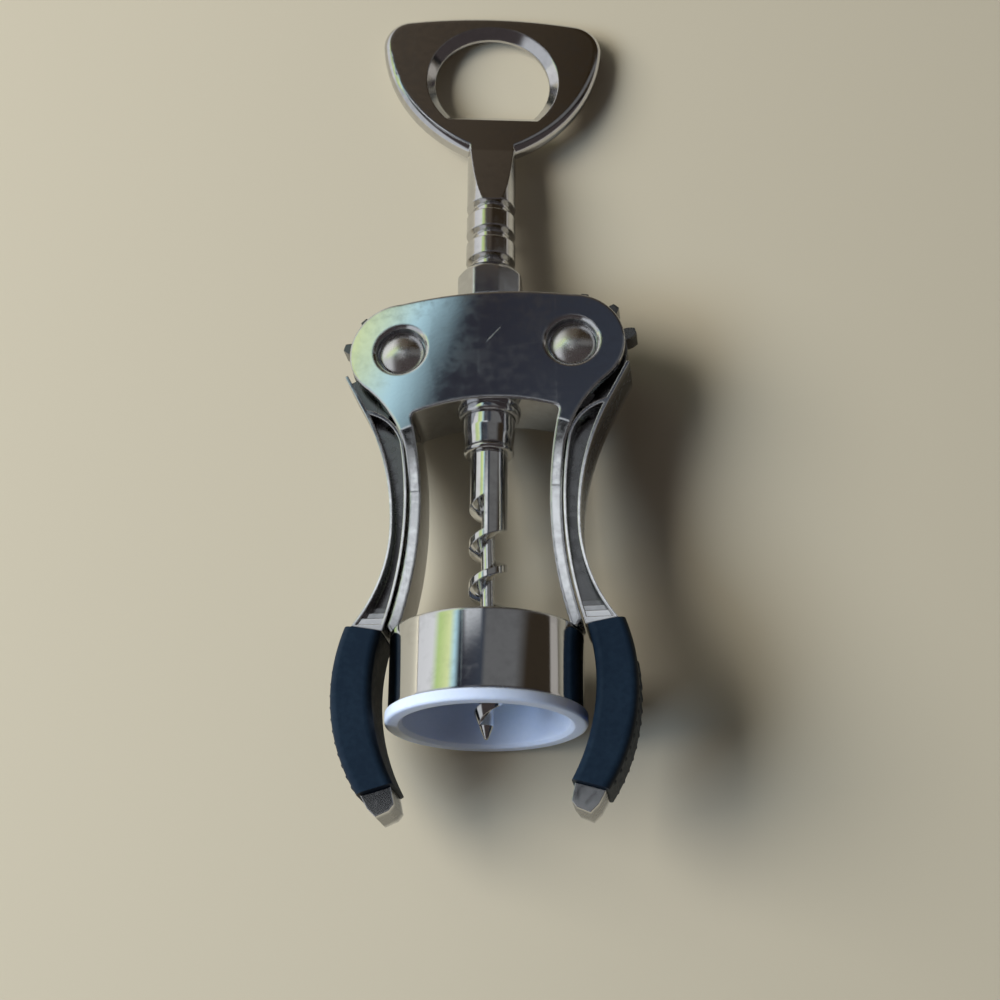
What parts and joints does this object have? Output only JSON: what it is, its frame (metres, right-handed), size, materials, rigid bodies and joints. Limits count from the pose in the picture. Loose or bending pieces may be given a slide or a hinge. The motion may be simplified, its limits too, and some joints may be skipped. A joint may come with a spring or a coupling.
{
  "type": "wing corkscrew",
  "caption": "Double-lever wing corkscrew with geared levers, ring rack spindle, auger worm, plastic-lined bell and cap opener handle.",
  "frame": {"origin": "centre of the bell's mouth plane, on the tool's axis", "axes": "+Y along the tool's axis from the bell to the opener handle, +Z out of the face with the domed rivet heads, +X towards the right lever"},
  "size_m": [0.067, 0.2001, 0.042],
  "materials": {
    "chrome": "polished",
    "rivet_steel": "satin",
    "grip_plastic": "matte",
    "insert_plastic": "satin",
    "steel": "satin"
  },
  "bodies": {
    "frame": {"frame_casting": "chrome", "top_collar": "chrome", "guide_bush": "chrome", "bell_insert": "insert_plastic", "left_pivot_rivet": "rivet_steel", "right_pivot_rivet": "rivet_steel", "left_front_washer": "steel", "left_back_washer": "steel", "right_front_washer": "steel", "right_back_washer": "steel"},
    "left_arm": {"left_lever": "chrome", "left_grip_front": "grip_plastic", "left_grip_back": "grip_plastic"},
    "right_arm": {"right_lever": "chrome", "right_grip_front": "grip_plastic", "right_grip_back": "grip_plastic"},
    "stop": {"stop_ring": "chrome"},
    "spindle": {"handle_rack": "chrome", "worm_screw": "chrome", "worm_pin": "steel"}
  },
  "joints": [
    {"name": "spindle_slide", "type": "slide", "parent": "frame", "child": "stop", "axis": [0, -1, 0], "range_m": [0, 0.03073]},
    {"name": "spindle_spin", "type": "hinge", "parent": "stop", "child": "spindle", "pos_m": [0, 0.062, 0], "axis": [0, 1, 0], "continuous": true},
    {"name": "left_swing", "type": "hinge", "parent": "frame", "child": "left_arm", "pos_m": [-0.01925, 0.0852, 0], "axis": [0, 0, -1], "range_deg": [0, 130.5]},
    {"name": "right_swing", "type": "hinge", "parent": "frame", "child": "right_arm", "pos_m": [0.01925, 0.0852, 0], "axis": [0, 0, 1], "range_deg": [0, 130.5]}
  ],
  "couplings": [
    {"joint": "left_swing", "follows": "spindle_slide", "rad_per_m": 73.823},
    {"joint": "right_swing", "follows": "spindle_slide", "rad_per_m": 73.823}
  ]
}
